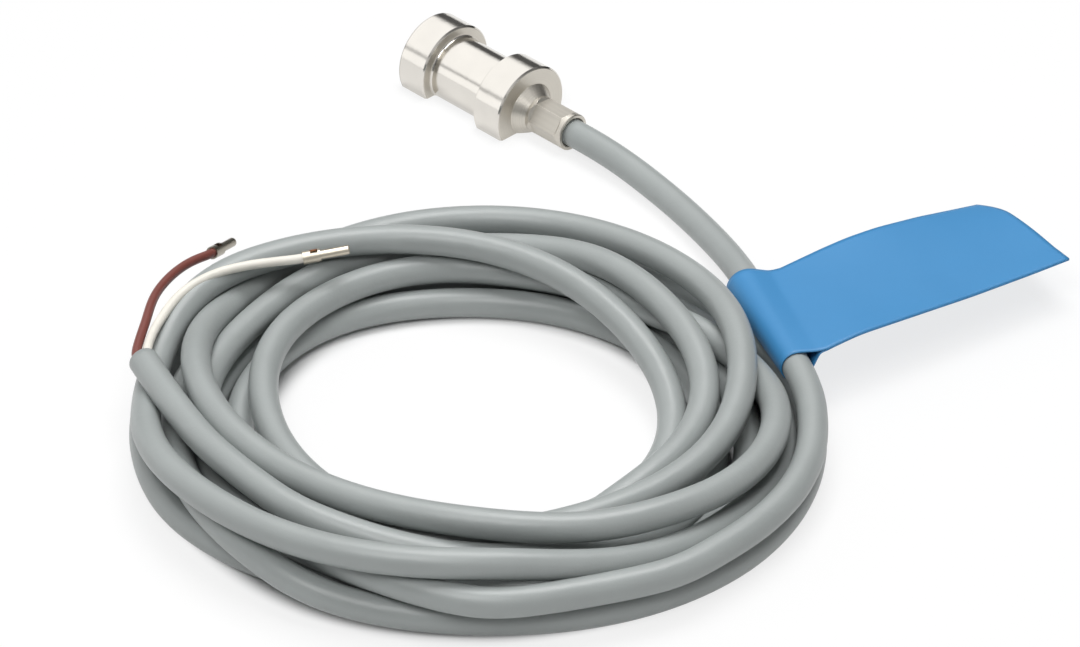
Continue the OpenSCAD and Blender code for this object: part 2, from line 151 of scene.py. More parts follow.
# How each turn of the coil lies, clockwise from the camera's right: distance from the middle
# and height of the cable's axis, in millimetres, at eight places round the turn
PLACES = 8
COIL_LIE = [
    [(55.2, 7.6), (56.0, 7.5), (51.4, 8.0), (46.3, 7.9),
     (44.6, 2.5), (45.4, 2.5), (43.5, 2.5), (42.8, 2.5)],
    [(44.8, 2.5), (47.4, 2.5), (40.8, 2.5), (48.6, 2.5),
     (54.0, 2.5), (55.5, 2.5), (54.0, 2.5), (52.8, 2.5)],
    [(55.2, 2.5), (53.9, 2.5), (49.6, 2.5), (50.8, 7.3),
     (49.2, 3.8), (50.4, 2.5), (49.0, 2.5), (47.8, 2.5)],
    [(50.4, 3.0), (50.2, 7.5), (48.6, 11.6), (50.6, 11.4),
     (52.5, 6.5), (49.8, 11.6), (40.2, 12.2), (33.2, 9.5)],
    [(32.8, 4.5), (31.0, 2.8), (30.5, 2.5), (32.0, 6.5),
     (34.2, 7.5), (40.3, 7.5), (42.0, 7.0), (41.0, 6.0)],
    [(49.4, 8.0), (47.5, 11.8), (37.8, 12.5), (37.7, 12.5),
     (44.8, 11.8), (51.4, 7.5), (55.2, 7.5), (50.4, 9.8)],
    [(43.6, 10.0), (38.6, 9.5), (35.3, 7.5), (40.0, 7.0),
     (45.0, 7.0), (47.8, 7.3), (46.2, 7.5), (40.2, 11.0)],
    [(38.2, 9.0), (33.6, 7.2), (36.2, 2.5), (37.0, 2.5),
     (38.8, 2.5), (40.3, 2.5), (37.0, 2.5), (39.2, 2.5)],
    [(40.2, 2.5), (43.0, 4.0), (40.5, 7.8), (44.2, 12.2)],
]
# Where the lead meets the first turn and the tail leaves the last, in turns from the camera's right
COIL_FROM = 75 / 360
COIL_TO = 8 + 140 / 360
# Steps round one turn of the coil
SLICES = 30

# How the turns are let down on each other, in millimetres. Rounds, and pushes apart in each round
SETTLING_ROUNDS = 500
PUSHES = 5
# Run of the camera's line of sight on the floor for each unit of height
SIGHT_RUN = 1.35
# Share of the way back to its lie that a turn takes in a round, across the line of sight and along it
BACK_ACROSS = 0.1
BACK_ALONG = 0.03
# How far it sinks in a round, and the share of its bend's unevenness that is taken out
SINK = 0.006
STIFFNESS = 0.12
# Room beyond a diameter that a turn keeps from the others one slice back, beside it and one slice on
SLICE_ROOM = ((-1, -0.12), (0, 0.03), (1, -0.12))

# Place that the lamps and the camera point at
LOOK_AT = np.array([0.0533, -0.0422, 0.0])
# Name, place, size and power in watts of each lamp
LAMPS = (
    ("top_softbox", (-0.04, 0.14, 0.84), 0.5, 6.0),
    ("front_softbox", (0.24, -0.46, 0.72), 0.4, 3.0),
)
# Width of the camera's own sensor in millimetres
CAMERA_SENSOR = 36
# Reach of the floor to each side
FLOOR_REACH = 2
# Distances from the coil's middle between which the floor darkens into the ring under the coil, and
# between which it clears again
RING_INSIDE = (0.033, 0.037)
RING_OUTSIDE = (0.0495, 0.0535)
# Share of plain white in the floor that the camera sees, and how much of that share metal sees
FLOOR_WHITE = 0.78
GLOSSY_WHITE = 0.7
# Level direction behind the head, the share of light that is lost there, and in the band over the horizon
BEHIND = (-0.59, 0.8)
DARK_BEHIND = 0.92
DARK_BAND = 0.55


# Curves and surfaces

def heading(yaw, pitch):
    """Unit vector of a yaw and a pitch in degrees."""
    yaw, pitch = math.radians(yaw), math.radians(pitch)
    return np.array([math.cos(yaw) * math.cos(pitch), math.sin(yaw) * math.cos(pitch), math.sin(pitch)])


def through(points, steps):
    """Smooth line through points, with steps to a span: each span is the cubic whose slope at a point is
    half the step across it."""
    p = np.asarray(points, float)
    p = np.vstack([2 * p[0] - p[1], p, 2 * p[-1] - p[-2]])
    u = np.linspace(0, 1, steps, endpoint=False)[None, :, None]
    a, b, c, d = (p[k:len(p) - 3 + k, None, :] for k in range(4))
    spans = 0.5 * (2 * b + (c - a) * u + (2 * a - 5 * b + 4 * c - d) * u**2 + (3 * b - a - 3 * c + d) * u**3)
    return np.vstack([spans.reshape(-1, p.shape[1]), p[-2:-1]])


def length_along(points):
    """Distance from the first point to each point, along the line."""
    return np.concatenate([[0], np.cumsum(np.linalg.norm(np.diff(points, axis=0), axis=1))])


def evenly(points, step):
    """The same line with points at equal distances of about step."""
    s = length_along(points)
    t = np.linspace(0, s[-1], max(2, int(round(s[-1] / step)) + 1))
    return np.stack([np.interp(t, s, points[:, k]) for k in range(points.shape[1])], 1)


def eased(points, passes, keep):
    """The line after each point is moved, passes times, to a quarter of each neighbour and half of itself;
    keep points stay at each end."""
    p = points.copy()
    for _ in range(passes):
        q = p.copy()
        q[1:-1] = (p[:-2] + 2 * p[1:-1] + p[2:]) / 4
        q[:keep], q[-keep:] = p[:keep], p[-keep:]
        p = q
    return p


def frames_along(path):
    """Unit tangent, side and upper direction at each point; the side stays level, as on a cable that
    isn't twisted."""
    t = np.gradient(path, axis=0)
    t /= np.linalg.norm(t, axis=1)[:, None]
    side = np.cross(t, [0.0, 0.0, 1.0])
    side /= np.linalg.norm(side, axis=1)[:, None]
    return t, side, np.cross(side, t)


def grid_faces(rows, columns, closed):
    """Quads of a grid of points; closed joins the last column to the first."""
    r = np.arange(rows - 1)[:, None]
    c = np.arange(columns if closed else columns - 1)[None, :]
    n = (c + 1) % columns
    low, high = r * columns, (r + 1) * columns
    return np.stack([low + c, low + n, high + n, high + c], -1).reshape(-1, 4)


def mesh_piece(name, points, quads, smooth=True, triangles=None):
    """An object at the origin from arrays of points and of quads, and triangles where it has caps."""
    loops = [np.asarray(quads, np.int64).ravel()]
    sizes = [np.full(len(quads), 4)]
    if triangles is not None:
        loops.append(np.asarray(triangles, np.int64).ravel())
        sizes.append(np.full(len(triangles), 3))
    loops, sizes = np.concatenate(loops), np.concatenate(sizes)
    mesh = bpy.data.meshes.new(name)
    mesh.vertices.add(len(points))
    mesh.vertices.foreach_set("co", np.asarray(points, np.float32).ravel())
    mesh.loops.add(len(loops))
    mesh.loops.foreach_set("vertex_index", loops.astype(np.int32))
    mesh.polygons.add(len(sizes))
    mesh.polygons.foreach_set("loop_start", (np.cumsum(sizes) - sizes).astype(np.int32))
    mesh.update(calc_edges=True)
    mesh.validate()
    mesh.polygons.foreach_set("use_smooth", np.full(len(mesh.polygons), smooth))
    old = bpy.data.objects.get(name)
    if old is not None:
        bpy.data.objects.remove(old)
    piece = bpy.data.objects.new(name, mesh)
    bpy.context.scene.collection.objects.link(piece)
    return piece


def swept_tube(name, path, radius, sides, rim):
    """A tube round a path: point (i, k) is path point i plus radius times the circle's point k in the
    frame there. The ends are closed by a fan, after a ring that rounds the rim by the share rim of the
    radius."""
    t, side, up = frames_along(path)
    a = 2 * np.pi * np.arange(sides) / sides
    circle = np.cos(a)[None, :, None] * side[:, None, :] + np.sin(a)[None, :, None] * up[:, None, :]
    body = path[:, None, :] + radius * circle
    inset = radius * rim
    first = path[0] + (radius - inset) * circle[0]
    last = path[-1] + (radius - inset) * circle[-1]
    body[0] += inset * t[0]
    body[-1] -= inset * t[-1]
    rows = np.concatenate([first[None], body, last[None]])
    points = np.vstack([rows.reshape(-1, 3), path[:1], path[-1:]])
    count = len(rows) * sides
    k = np.arange(sides)
    n = (k + 1) % sides
    end = (len(rows) - 1) * sides
    caps = np.vstack([
        np.stack([n, k, np.full(sides, count)], 1),
        np.stack([end + k, end + n, np.full(sides, count + 1)], 1),
    ])
    return mesh_piece(name, points, grid_faces(len(rows), sides, True), triangles=caps)


def slab(name, middle, thick):
    """A closed sheet of even thickness: point (i, j) of each skin is middle (i, j) plus or minus half the
    thickness along the cross product of the grid's two directions; four strips of quads close the rim."""
    rows, columns = middle.shape[:2]
    along = np.gradient(middle, axis=0)
    across = np.gradient(middle, axis=1)
    normal = np.cross(along, across)
    normal /= np.linalg.norm(normal, axis=2)[..., None]
    half = 0.5 * thick * normal
    points = np.vstack([(middle + half).reshape(-1, 3), (middle - half).reshape(-1, 3)])
    skin = grid_faces(rows, columns, False)
    count = rows * columns
    grid = np.arange(count).reshape(rows, columns)
    loop = np.concatenate([grid[0, :-1], grid[:-1, -1], grid[-1, :0:-1], grid[:0:-1, 0]])
    after = np.roll(loop, -1)
    rim = np.stack([loop, loop + count, after + count, after], 1)
    return mesh_piece(name, points, np.vstack([skin, skin[:, ::-1] + count, rim]))


# The cable's lie

def coil_table():
    """Distance and height of the cable's axis at every slice of every turn, through the listed lies."""
    lies = [place for turn in COIL_LIE for place in turn]
    line = through(lies, steps=32)
    t = np.linspace(0, (len(lies) - 1) / PLACES, len(line))
    turns = np.arange(int(round(t[-1] * SLICES)) + 1) / SLICES
    return turns, np.stack([np.interp(turns, t, line[:, 0]), np.interp(turns, t, line[:, 1])], 1)


def settled(turns, lie, diameter):
    """The turns let down on each other: every round draws them to their lie, bends them smooth, lets them
    sink, and pushes apart any two that come closer than a diameter in one slice. The floor holds the
    lowest."""
    place = lie.copy()
    n = len(place)
    rows = -(-n // SLICES)
    along = np.stack([-SIGHT_RUN * np.sin(-2 * np.pi * turns), np.ones(n)], 1)
    along /= np.linalg.norm(along, axis=1)[:, None]
    across = np.stack([along[:, 1], -along[:, 0]], 1)
    index = np.arange(rows * SLICES).reshape(rows, SLICES)
    inside = index < n
    mine = np.minimum(index, n - 1)
    others = ~np.eye(rows, dtype=bool)[:, :, None]
    for _ in range(SETTLING_ROUNDS):
        miss = lie - place
        move = BACK_ACROSS * (miss * across).sum(1)[:, None] * across
        move = move + BACK_ALONG * (miss * along).sum(1)[:, None] * along
        move[:, 1] -= SINK
        bend = np.zeros_like(place)
        bend[1:-1] = 0.5 * (place[:-2] + place[2:]) - place[1:-1]
        twice = np.zeros_like(place)
        twice[1:-1] = 0.5 * (bend[:-2] + bend[2:]) - bend[1:-1]
        place = place + move - STIFFNESS * twice
        for _ in range(PUSHES):
            push = np.zeros_like(place)
            hits = np.zeros(n)
            for shift, room in SLICE_ROOM:
                beside = index + shift
                real = inside[:, None] & (beside < n)[None] & (beside >= 0)[None] & others
                gap = place[mine][:, None] - place[np.clip(beside, 0, n - 1)][None]
                far = np.hypot(gap[..., 0], gap[..., 1]) + 1e-9
                short = np.where(real, np.maximum(0, diameter + room - far), 0)
                step = (0.5 * short / far)[..., None] * gap
                push[index[inside]] += step.sum(1)[inside]
                hits[index[inside]] += (short > 0).sum(1)[inside]
            place = place + push / np.maximum(hits, 1)[:, None]
            place[:, 1] = np.maximum(place[:, 1], diameter / 2)
    return place


def cable_route(diameter):
    """Points of the whole cable's axis: the lead, the settled turns of the coil, and the tail. A point of
    the coil lies at its distance from the coil's middle, at an angle that goes round with the turns."""
    turns, lie = coil_table()
    place = settled(turns, lie, diameter * 1000) / 1000
    used = (turns >= COIL_FROM) & (turns <= COIL_TO)
    angle = COIL_TURN - 2 * np.pi * turns[used]
    coil = np.stack([
        COIL_CENTRE[0] + place[used, 0] * np.cos(angle),
        COIL_CENTRE[1] + place[used, 0] * np.sin(angle),
        place[used, 1],
    ], 1)
    line = through(np.vstack([LEAD_ROUTE, coil, TAIL_ROUTE]), steps=20)
    return evenly(eased(evenly(line, ROUTE_STEP), passes=45, keep=6), CABLE_STEP)


def wire_route(route, contact, lean):
    """Points of a wire's axis, from just inside the cut jacket to its grip in the contact. Between its
    ends it leans aside by the squared sine of the share of the way."""
    root, yaw, pitch = contact
    ahead = heading(yaw, pitch)
    points = np.vstack([route, root - WIRE_STRAIGHT * ahead, root + WIRE_GRIP * ahead])
    start = points[0] + WIRE_HIDDEN * INTO_JACKET
    line = evenly(through(np.vstack([start, points]), steps=24), WIRE_ROUTE_STEP)
    share = np.linspace(0, 1, len(line))[:, None]
    line = line + np.sin(math.pi * share) ** 2 * np.array(lean)
    return evenly(eased(line, passes=60, keep=4), WIRE_STEP)


def drop_profile(radius, reach, rise, count):
    """Height and distance across the cable of a film drawn round it like a drop: from the nose over the
    top of the circle, round the far side and below it, back to the nose along the two tangents."""
    turn, lean = math.atan2(rise, reach), math.acos(radius / math.hypot(reach, rise))
    a = np.linspace(turn + lean, turn - lean + 2 * math.pi, count)
    arc = np.stack([radius * np.cos(a), radius * np.sin(a)], 1)
    nose = np.array([[reach, rise]])
    share = np.linspace(0, 1, count // 3, endpoint=False)[:, None]
    return np.vstack([nose + share * (arc[0] - nose), arc, arc[-1] + (1 - share[::-1]) * (nose - arc[-1])])


def film_middle(radius, ply):
    """Middle of the label's film, in the wrap's own axes: the upper ply from the far end to the nose, the
    drop round the cable, and the lower ply back out. Columns run along the cable. The free part waves: by
    the share of the way out, the edge towards the head stands up to 2 mm proud and the other edge lifts
    up to 0.8 mm, and each wave fades across the film by a power of the share of the width. The far end
    curls up by a square, and across the film by a sine."""
    (head_root, fold), (head_end, head_out) = HEAD_EDGE
    (other_root, _), (other_end, other_out) = OTHER_EDGE
    head_slope = (head_end - head_root) / (head_out - fold)
    other_slope = (other_end - other_root) / (other_out - fold)
    s = np.linspace(1, 0, FLAG_POINTS)
    head_wave = np.interp(s, *HEAD_EDGE_WAVE)
    other_wave = np.interp(s, *OTHER_EDGE_WAVE)
    end_curl = CURL * np.clip((s - CURL_FROM) / (1 - CURL_FROM), 0, 1) ** 2
    rise = NOSE[1]
    columns = []
    for k in np.linspace(0, 1, WIDTH_POINTS):
        reach = NOSE[0] + NOSE_SPREAD * k
        loose = DROP_LOOSE * (1 - k)
        out = head_out + (other_out - head_out) * k
        cut = CORNER_CUT * max(0.0, 1 - k / CORNER_WIDTH) ** 2
        end = out * (1 + END_BULGE * math.sin(math.pi * k) - cut)
        curl = end_curl * math.sin(math.pi * min(1.0, k / CURL_WIDTH))
        wave = 0.001 * ((1 - k) ** WAVE_FADE * head_wave + k**WAVE_FADE * other_wave + curl)
        plate = np.stack([reach + (end - reach) * s, rise + wave], 1)
        drop = drop_profile(radius + loose, reach + loose, rise, DROP_POINTS) - (loose, 0)
        line = np.vstack([plate + (0, 0.5 * ply), drop[1:-1], plate[::-1] - (0, 0.5 * ply)])
        line = eased(line, passes=6, keep=2)
        root = head_root + (other_root - head_root) * k
        slope = head_slope * (1 - k) + other_slope * k
        lean = slope * np.maximum(0, line[:, 0] - fold)
        columns.append(np.stack([root + lean, line[:, 0], line[:, 1]], 1))
    return np.stack(columns, 1)


# Finishes

class Flow:
    """A value that nodes work out. The usual signs between it and numbers or other values add Math nodes."""

    def __init__(self, maker, socket):
        self.maker = maker
        self.socket = socket

    def math(self, operation, *values):
        """A Math node of this operation, on this value and then the others."""
        return self.maker.node("ShaderNodeMath", {"operation": operation}, dict(enumerate((self, *values))))

    def __add__(self, other):
        return self.math("ADD", other)

    __radd__ = __add__

    def __sub__(self, other):
        return self.math("SUBTRACT", other)

    def __rsub__(self, other):
        return self.math("MULTIPLY_ADD", -1.0, other)

    def __mul__(self, other):
        return self.math("MULTIPLY", other)

    __rmul__ = __mul__


class Maker:
    """Adds the nodes of a material or a world, which starts empty."""

    def __init__(self, owner):
        self.owner = owner
        owner.use_nodes = True
        owner.node_tree.nodes.clear()

    def node(self, kind, settings=None, values=None, output=0):
        """A node of this kind, with its settings set first and then its sockets, by name or number, to a link
        from a value or to a plain number or colour; gives one of its outputs, if it has any."""
        tree = self.owner.node_tree
        node = tree.nodes.new(kind)
        for key, value in (settings or {}).items():
            setattr(node, key, value)
        for key, value in (values or {}).items():
            if isinstance(value, Flow):
                tree.links.new(value.socket, node.inputs[key])
            else:
                node.inputs[key].default_value = value
        return Flow(self, node.outputs[output]) if node.outputs else None

    def parts(self, vector):
        """The three parts of a vector, each a value of its own."""
        return [self.node("ShaderNodeSeparateXYZ", None, {0: vector}, axis) for axis in "XYZ"]

    def eased_step(self, value, low, high, below=0.0, above=1.0):
        """One number below low and another above high, with a soft change between them."""
        ends = {0: value, 1: low, 2: high, 3: below, 4: above}
        return self.node("ShaderNodeMapRange", {"interpolation_type": "SMOOTHSTEP"}, ends)

    def ray(self, kind):
        """1 where a ray of this kind sees the surface, else 0."""
        return self.node("ShaderNodeLightPath", output=f"Is {kind} Ray")


class Finish(Maker):
    """A material made of a Principled shader and the nodes that feed it."""

    def __init__(self, name):
        super().__init__(bpy.data.materials.get(name) or bpy.data.materials.new(name))

    def place(self):
        """Place on the object, in metres."""
        return self.node("ShaderNodeTexCoord", output="Object")

    def noise(self, scale, detail):
        """Soft noise from 0 to 1, with about scale blobs to the metre."""
        values = {"Vector": self.place(), "Scale": scale, "Detail": detail, "Roughness": 0.5}
        return self.node("ShaderNodeTexNoise", None, values)

    def marks(self, place):
        """Noise from 0 to 1 that changes along one value only, as turning marks do, with about one mark
        to a unit of it."""
        values = {"W": place, "Scale": 1.0, "Detail": 2.0}
        return self.node("ShaderNodeTexNoise", {"noise_dimensions": "1D"}, values)

    def mixed(self, share, first, second):
        """A colour between two colours."""
        return self.node("ShaderNodeMix", {"data_type": "RGBA"}, {0: share, 6: first, 7: second}, output=2)

    def bumps(self, height, distance):
        """A normal bent by a height; distance is in metres."""
        return self.node("ShaderNodeBump", None, {"Height": height, "Distance": distance, "Strength": 1.0})

    def shader(self, values):
        """The Principled shader with these values."""
        return self.node("ShaderNodeBsdfPrincipled", None, values)

    def finished(self, surface):
        """The material, with this shader as its surface."""
        self.node("ShaderNodeOutputMaterial", None, {0: surface})
        return self.owner


def linear(colour):
    """The linear colour of an sRGB colour given from 0 to 255, with full alpha."""
    c = np.array(colour[:3], float) / 255
    c = np.where(c <= 0.04045, c / 12.92, ((c + 0.055) / 1.055) ** 2.4)
    return (*[float(x) for x in c], 1.0)


def darker(colour, share):
    """The colour with this share of its light."""
    return (*[c * share for c in colour[:3]], 1)


def jacket_finish(colour):
    """Grey jacket: soft, slightly glossy, with faint cloudiness and fine drawing marks."""
    f = Finish("grey_jacket")
    cloud = f.noise(90, 3)
    return f.finished(f.shader({
        "Base Color": f.mixed(cloud, darker(colour, 0.86), colour),
        "Roughness": 0.3 + 0.14 * cloud,
        "Normal": f.bumps(0.6 * f.noise(2600, 2) + 3 * f.noise(260, 2), 0.00003),
        "Specular IOR Level": 0.5,
    }))


def wire_finish(name, colour):
    """Plain coloured wire insulation."""
    f = Finish(name)
    cloud = f.noise(400, 2)
    return f.finished(f.shader({
        "Base Color": f.mixed(cloud, darker(colour, 0.85), colour),
        "Roughness": 0.38 + 0.1 * cloud,
        "Normal": f.bumps(f.noise(1500, 2), 0.00002),
    }))


def nickel_finish(colour, face_colour, roughness):
    """Turned and plated metal: fine rings about the head's axis, and soft wear. The two faces that look
    towards the cable, the cone and the crimp are duller, with rings about the head's centre. The blind end is
    darkened with painted shade, which draws a dark outline at its rim."""
    f = Finish("bright_nickel")
    along, beside, height = f.parts(f.place())
    level = height - HEAD_AXIS
    reach = (beside * beside + level * level).math("SQRT")
    inner_face = 1.0 - f.eased_step((along - FACES[0]).math("ABSOLUTE"), *FACE_EDGE)
    outer_face = f.eased_step(along, FACES[1] - FACE_EDGE[1], FACES[1] - FACE_EDGE[0])
    face = inner_face.math("MAXIMUM", outer_face)
    turned = f.marks(along * MARKS_ALONG)
    faced = f.marks(reach * MARKS_ACROSS)
    smear = f.noise(260, 3)
    wear_and_rim_shade = f.mixed(smear, darker(colour, 0.9), colour)
    # Painted shade: from the rim on, the blind end is darkened towards half the metal's colour, as a dark
    # outline
    rim = f.eased_step(-1.0 * along, *RIM_PAINTED_SHADE)
    wear_and_rim_shade = f.mixed(0.7 * rim, wear_and_rim_shade, darker(colour, 0.5))
    dull = f.mixed(faced, darker(face_colour, 0.8), face_colour)
    return f.finished(f.shader({
        "Metallic": 1.0,
        "Base Color": f.mixed(face, wear_and_rim_shade, dull),
        "Roughness": roughness + 0.07 * smear + 0.27 * face,
        "Normal": f.bumps(turned * (1.0 - face) + 2.5 * faced * face + 3.0 * f.noise(700, 3), 0.000006),
    }))


def plain_finish(name, colour, roughness, metallic=0.0):
    """A plain finish with faint unevenness."""
    f = Finish(name)
    cloud = f.noise(300, 2)
    return f.finished(f.shader({
        "Metallic": metallic,
        "Base Color": f.mixed(cloud, darker(colour, 0.85), colour),
        "Roughness": roughness + 0.1 * cloud,
        "Normal": f.bumps(f.noise(900, 2), 0.00001),
    }))


def film_finish(colour):
    """Blue label film: smooth, with a soft sheen."""
    f = Finish("blue_film")
    cloud = f.noise(60, 2)
    return f.finished(f.shader({
        "Base Color": f.mixed(cloud, darker(colour, 0.93), colour),
        "Roughness": 0.42 + 0.1 * cloud,
        "Normal": f.bumps(f.noise(180, 2), 0.00008),
    }))


def floor_finish(colour):
    """Pale matt floor that keeps its shadow. What the camera, metal and plastic see of it is partly plain
    white, apart from the ring under the coil."""
    f = Finish("pale_floor")
    matt = f.shader({"Base Color": colour, "Roughness": 0.9, "Specular IOR Level": 0.1})
    white = f.node("ShaderNodeEmission", None, {"Color": (1, 1, 1, 1), "Strength": 1.0})
    seen = (f.ray("Camera") + GLOSSY_WHITE * f.ray("Glossy") + f.ray("Transmission")).math("MINIMUM", 1.0)
    ends = {0: f.place(), 1: (*COIL_CENTRE, 0.0)}
    out = f.node("ShaderNodeVectorMath", {"operation": "DISTANCE"}, ends, "Value")
    clear = 1.0 - f.eased_step(out, *RING_INSIDE) * (1.0 - f.eased_step(out, *RING_OUTSIDE))
    share = FLOOR_WHITE * seen * clear
    return f.finished(f.node("ShaderNodeMixShader", None, {0: share, 1: matt, 2: white}))


def studio_world():
    """A studio seen by direction: bright from the left, weaker from far right, with a darker band over the
    horizon and a dark side behind, up to a height. The camera and metal see it whole, and all else gets
    half of its light."""
    w = Maker(bpy.data.worlds.new("studio"))
    x, y, z = w.parts(w.node("ShaderNodeTexCoord", output="Generated"))
    left = w.eased_step(-1.0 * x, 0.25, 0.5, below=0.2, above=1.3)
    right = w.eased_step(x, 0.6, 0.8, below=0.0, above=0.5)
    behind = w.eased_step(BEHIND[0] * x + BEHIND[1] * y, 0.45, 0.75) * (1.0 - w.eased_step(z, 0.34, 0.55))
    band = w.eased_step(z, 0.28, 0.36) * (1.0 - w.eased_step(z, 0.38, 0.46))
    lost = (DARK_BEHIND * behind).math("MAXIMUM", DARK_BAND * band)
    seen = (w.ray("Camera") + w.ray("Glossy")).math("MINIMUM", 1.0)
    strength = (left + right) * (1.0 - lost) * (0.5 + 0.5 * seen)
    sky = w.node("ShaderNodeBackground", None, {"Color": (1, 1, 1, 1), "Strength": strength})
    w.node("ShaderNodeOutputWorld", None, {0: sky})
    return w.owner


def dress(piece, material):
    """Gives a piece one finish."""
    piece.data.materials.clear()
    piece.data.materials.append(material)


# Settings

def length_setting(name, description, default, low, high):
    """A length that a user can change."""
    return bpy.props.FloatProperty(
        name=name, description=description, default=default, min=low, max=high, unit="LENGTH", precision=4
    )


def colour_setting(name, description, default):
    """A colour that a user can change, given as an sRGB colour from 0 to 255."""
    return bpy.props.FloatVectorProperty(
        name=name, description=description, default=linear(default), size=4, min=0, max=1, subtype="COLOR"
    )


class CableSettings(bpy.types.PropertyGroup):
    """Sizes and colours of the cable and its wires"""

    jacket_diameter: length_setting("Jacket diameter", "Diameter of the grey cable", 0.005, 0.0048, 0.005)
    wire_diameter: length_setting("Wire diameter", "Diameter of an insulated wire", 0.0016, 0.0013, 0.0017)
    jacket_colour: colour_setting("Jacket colour", "Colour of the cable's jacket", (158, 163, 162))
    brown: colour_setting("Brown", "Colour of the brown wire", (122, 66, 58))
    white: colour_setting("White", "Colour of the white wire", (236, 232, 222))


class HeadSettings(bpy.types.PropertyGroup):
    """Finish of the metal head and the contacts"""

    metal_colour: colour_setting("Metal colour", "Colour of the plated head", (226, 222, 215))
    face_colour: colour_setting("Face colour", "Colour of the head's turned faces and crimp", (214, 209, 199))
    metal_roughness: bpy.props.FloatProperty(
        name="Metal roughness", description="Roughness of the plating", default=0.08, min=0.02, max=1
    )


class LabelSettings(bpy.types.PropertyGroup):
    """Looks of the film label"""

    film_colour: colour_setting("Film colour", "Colour of the label", (60, 134, 188))
    thickness: length_setting("Film thickness", "Thickness of one ply of the film", 0.0002, 0.0001, 0.0002)


class StageSettings(bpy.types.PropertyGroup):
    """Floor, lamps and camera"""

    floor_colour: colour_setting("Floor colour", "Colour of the floor", (232, 232, 232))
    lens: bpy.props.FloatProperty(
        name="Lens", description="Focal length in millimetres", default=168.0, min=20, max=400
    )
    distance: length_setting("Distance", "Distance from the camera to the place it looks at", 0.857, 0.3, 3.0)
    elevation: bpy.props.FloatProperty(
        name="Elevation", description="Height of the camera's view", default=math.radians(35), subtype="ANGLE"
    )
    azimuth: bpy.props.FloatProperty(
        name="Azimuth", description="Turn of the camera's view", default=math.radians(45.7), subtype="ANGLE"
    )


# Operators

class SENSOR_OT_label(bpy.types.Operator):
    """Makes the film label, folded round the cable near the head"""

    bl_idname = "sensor.label"
    bl_label = "Make the label"

    def execute(self, context):
        s = context.scene.sensor_label
        radius = context.scene.sensor_cable.jacket_diameter / 2 + FILM_GAP + s.thickness / 2
        local = film_middle(radius, s.thickness + PLY_GAP)
        place, yaw, pitch = WRAP
        ahead, across = heading(yaw, pitch), heading(yaw + 90, 0)
        middle = np.array(place) + local @ np.stack([ahead, across, np.cross(ahead, across)])
        film = slab("label_film", middle, s.thickness)
        dress(film, film_finish(tuple(s.film_colour)))
        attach(film, "root")
        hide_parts("flag_label")
        return {"FINISHED"}


class SENSOR_OT_cable(bpy.types.Operator):
    """Makes the grey cable at its real length, from the head through the coil to the cut jacket"""

    bl_idname = "sensor.cable"
    bl_label = "Make the cable"

    def execute(self, context):
        s = context.scene.sensor_cable
        label = bpy.data.objects.get("label_film")
        if label is None:
            raise RuntimeError("the label is made before the cable that carries it")
        path = cable_route(s.jacket_diameter)
        cable = swept_tube("cable", path, s.jacket_diameter / 2, sides=28, rim=0.06)
        dress(cable, jacket_finish(tuple(s.jacket_colour)))
        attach(cable, "root")
        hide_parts("cable_lead", "cable_coil", "cable_tail")
        return {"FINISHED"}


class SENSOR_OT_wires(bpy.types.Operator):
    """Makes the brown and the white wire, from the cut jacket into their contacts"""

    bl_idname = "sensor.wires"
    bl_label = "Make the wires"

    def execute(self, context):
        s = context.scene.sensor_cable
        for name, route, contact, lean, colour in (
            ("brown", BROWN_ROUTE, BROWN_CONTACT, BROWN_LEAN, s.brown),
            ("white", WHITE_ROUTE, WHITE_CONTACT, WHITE_LEAN, s.white),
        ):
            path = wire_route(route, contact, lean)
            wire = swept_tube("insulated_wire_" + name, path, s.wire_diameter / 2, sides=20, rim=0.08)
            dress(wire, wire_finish(name + "_insulation", tuple(colour)))
            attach(wire, "root")
            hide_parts("wire_" + name)
        return {"FINISHED"}


class SENSOR_OT_finishes(bpy.types.Operator):
    """Gives the head, the label, the contacts and the pieces inside the head their finishes"""

    bl_idname = "sensor.finishes"
    bl_label = "Finish the parts"

    def execute(self, context):
        head, cable, label = context.scene.sensor_head, context.scene.sensor_cable, context.scene.sensor_label
        nickel = nickel_finish(tuple(head.metal_colour), tuple(head.face_colour), head.metal_roughness)
        jacket = jacket_finish(tuple(cable.jacket_colour))
        brown = wire_finish("brown_insulation", tuple(cable.brown))
        white = wire_finish("white_insulation", tuple(cable.white))
        film = film_finish(tuple(label.film_colour))
        tin = plain_finish("bright_tin", linear((205, 205, 200)), 0.28, metallic=1.0)
        copper = plain_finish("bare_copper", linear((214, 138, 98)), 0.3, metallic=1.0)
        dark_pin = plain_finish("dull_contact_metal", linear((168, 162, 150)), 0.24, metallic=1.0)
        pale_pin = plain_finish("pale_contact_metal", linear((206, 198, 182)), 0.34, metallic=1.0)
        bead = plain_finish("bead_resin", linear((30, 30, 34)), 0.3)
        thin_sleeve = plain_finish("leg_sleeve", linear((190, 190, 180)), 0.4)
        shrunk_sleeve = plain_finish("shrunk_sleeve", linear((24, 24, 26)), 0.45)
        potting = plain_finish("potting_resin", linear((60, 58, 56)), 0.4)
        for material, names in (
            (nickel, ("probe_body",)),
            (jacket, ("jacket_end", "cable_lead", "cable_coil", "cable_tail")),
            (brown, ("core_brown_head", "wire_brown")),
            (white, ("core_white_head", "wire_white")),
            (film, ("flag_label",)),
            (tin, ("leg_brown", "leg_white", "splice_brown", "splice_white")),
            (copper, ("conductor_brown_head", "conductor_white_head", "strands_brown", "strands_white")),
            (dark_pin, ("crimp_pin_brown",)),
            (pale_pin, ("crimp_pin_white",)),
            (bead, ("thermistor_bead",)),
            (thin_sleeve, ("leg_sleeve_brown", "leg_sleeve_white")),
            (shrunk_sleeve, ("shrink_sleeve_brown", "shrink_sleeve_white")),
            (potting, ("potting_compound",)),
        ):
            for name in names:
                dress(NODES[name], material)
        return {"FINISHED"}


